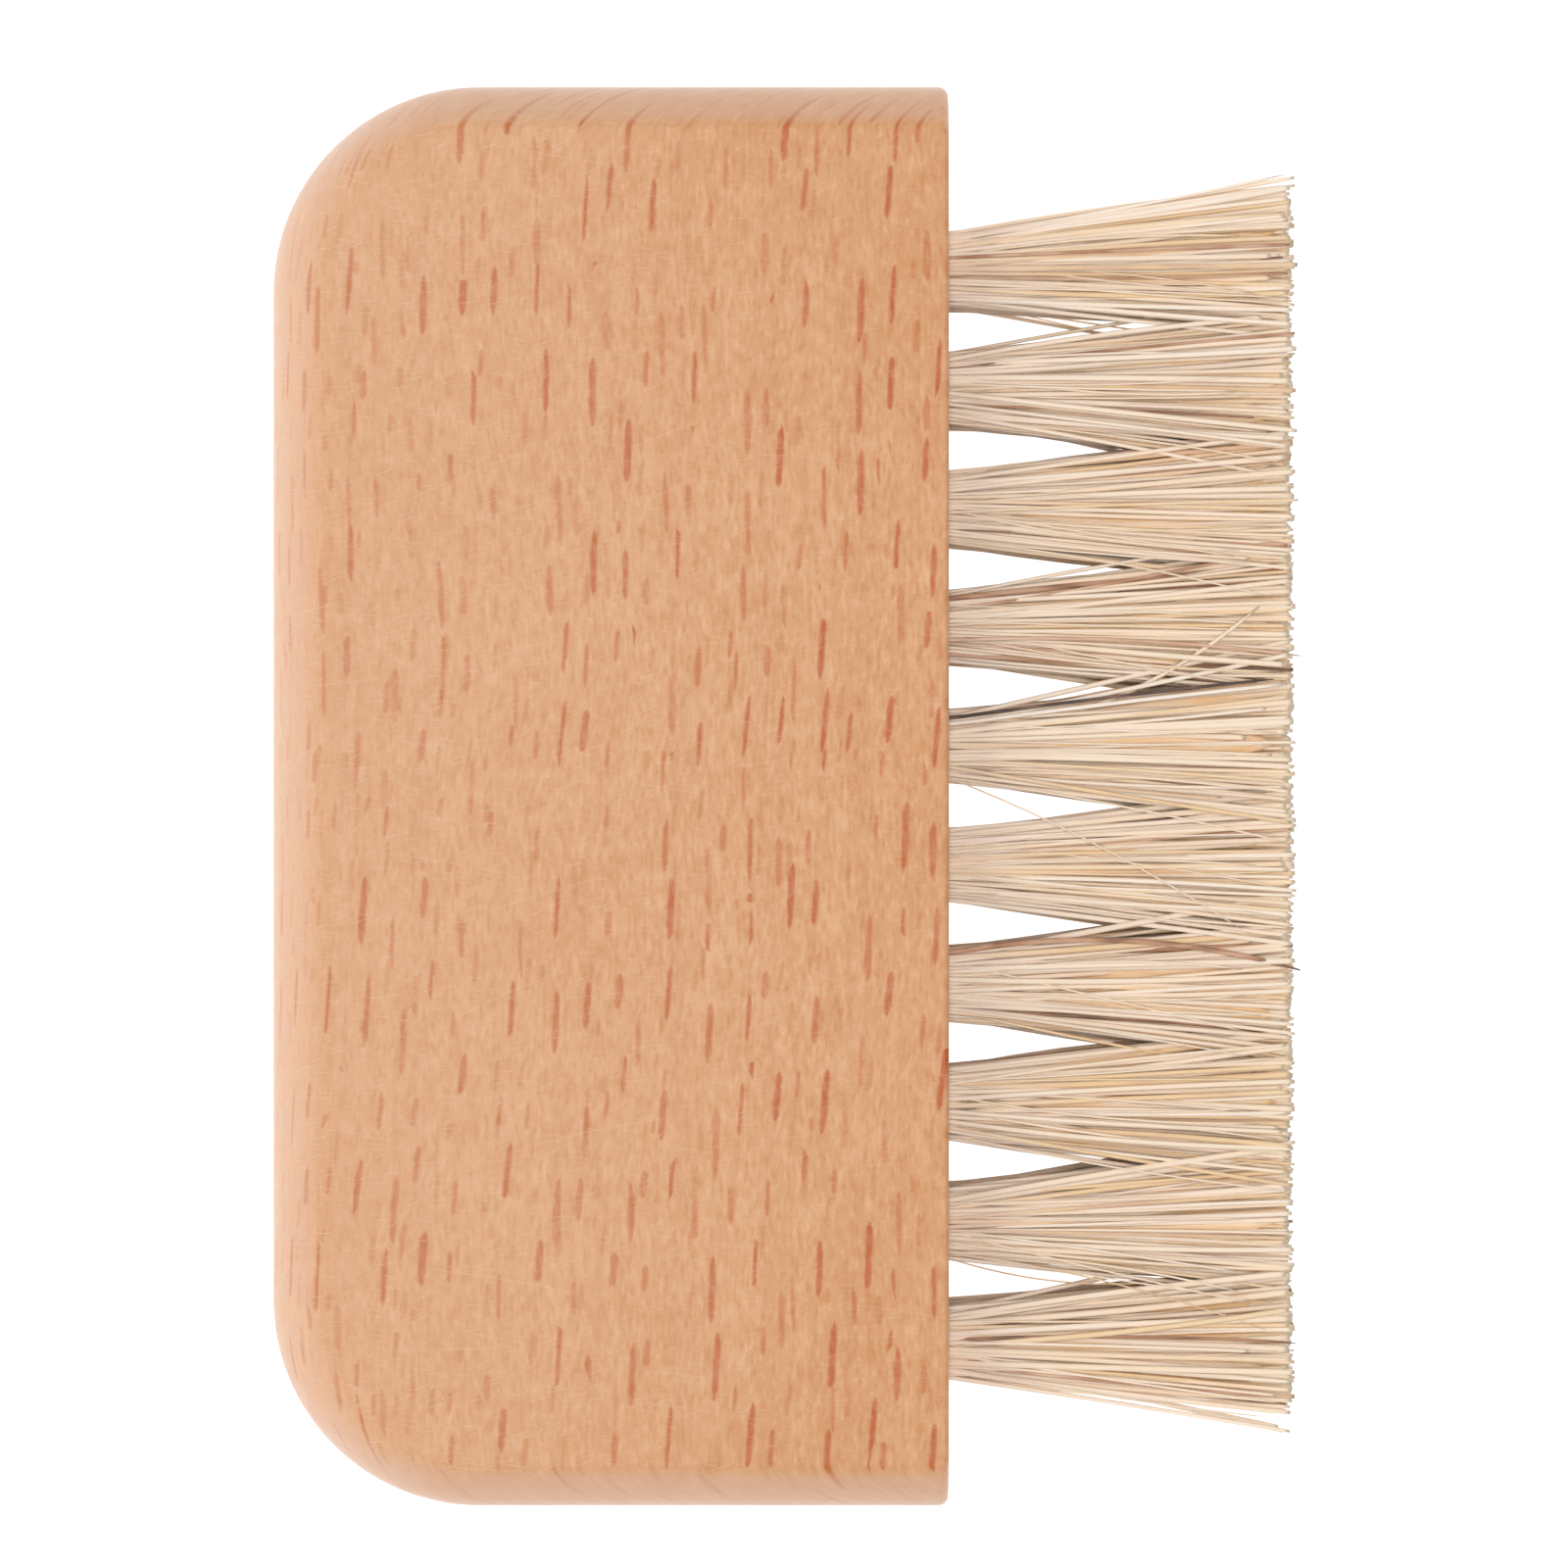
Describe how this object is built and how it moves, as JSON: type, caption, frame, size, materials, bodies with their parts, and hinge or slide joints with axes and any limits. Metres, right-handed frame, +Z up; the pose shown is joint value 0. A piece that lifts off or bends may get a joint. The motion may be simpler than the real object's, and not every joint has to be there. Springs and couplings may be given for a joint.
{
  "type": "beard brush",
  "caption": "Hand brush for beards: a flat beech block with rounded back corners and softened edges, and short natural bristle tufts set in rows along one long narrow face.",
  "frame": {"origin": "middle of the brush's footprint as it lies on a broad face, on the surface it lies on", "axes": "+X from the block's spine towards the bristle tips, +Y along the block's length, +Z up through the block's thickness"},
  "size_m": [0.0644, 0.09, 0.018],
  "materials": {
    "beech": "fine-sanded beech with a thin oil finish, satin, with short darker ray flecks along the grain",
    "bristle": "undyed light hog bristle, cream with scattered honey and brown hairs, low sheen",
    "anchor_wire": "drawn flat steel wire, cut to length"
  },
  "bodies": {
    "root": {"block": "beech", "tuft_lower_01": "bristle", "tuft_lower_02": "bristle", "tuft_lower_03": "bristle", "tuft_lower_04": "bristle", "tuft_lower_05": "bristle", "tuft_lower_06": "bristle", "tuft_lower_07": "bristle", "tuft_lower_08": "bristle", "tuft_lower_09": "bristle", "tuft_lower_10": "bristle", "tuft_upper_01": "bristle", "tuft_upper_02": "bristle", "tuft_upper_03": "bristle", "tuft_upper_04": "bristle", "tuft_upper_05": "bristle", "tuft_upper_06": "bristle", "tuft_upper_07": "bristle", "tuft_upper_08": "bristle", "tuft_upper_09": "bristle", "tuft_upper_10": "bristle", "anchor_lower_01": "anchor_wire", "anchor_lower_02": "anchor_wire", "anchor_lower_03": "anchor_wire", "anchor_lower_04": "anchor_wire", "anchor_lower_05": "anchor_wire", "anchor_lower_06": "anchor_wire", "anchor_lower_07": "anchor_wire", "anchor_lower_08": "anchor_wire", "anchor_lower_09": "anchor_wire", "anchor_lower_10": "anchor_wire", "anchor_upper_01": "anchor_wire", "anchor_upper_02": "anchor_wire", "anchor_upper_03": "anchor_wire", "anchor_upper_04": "anchor_wire", "anchor_upper_05": "anchor_wire", "anchor_upper_06": "anchor_wire", "anchor_upper_07": "anchor_wire", "anchor_upper_08": "anchor_wire", "anchor_upper_09": "anchor_wire", "anchor_upper_10": "anchor_wire"}
  },
  "joints": []
}
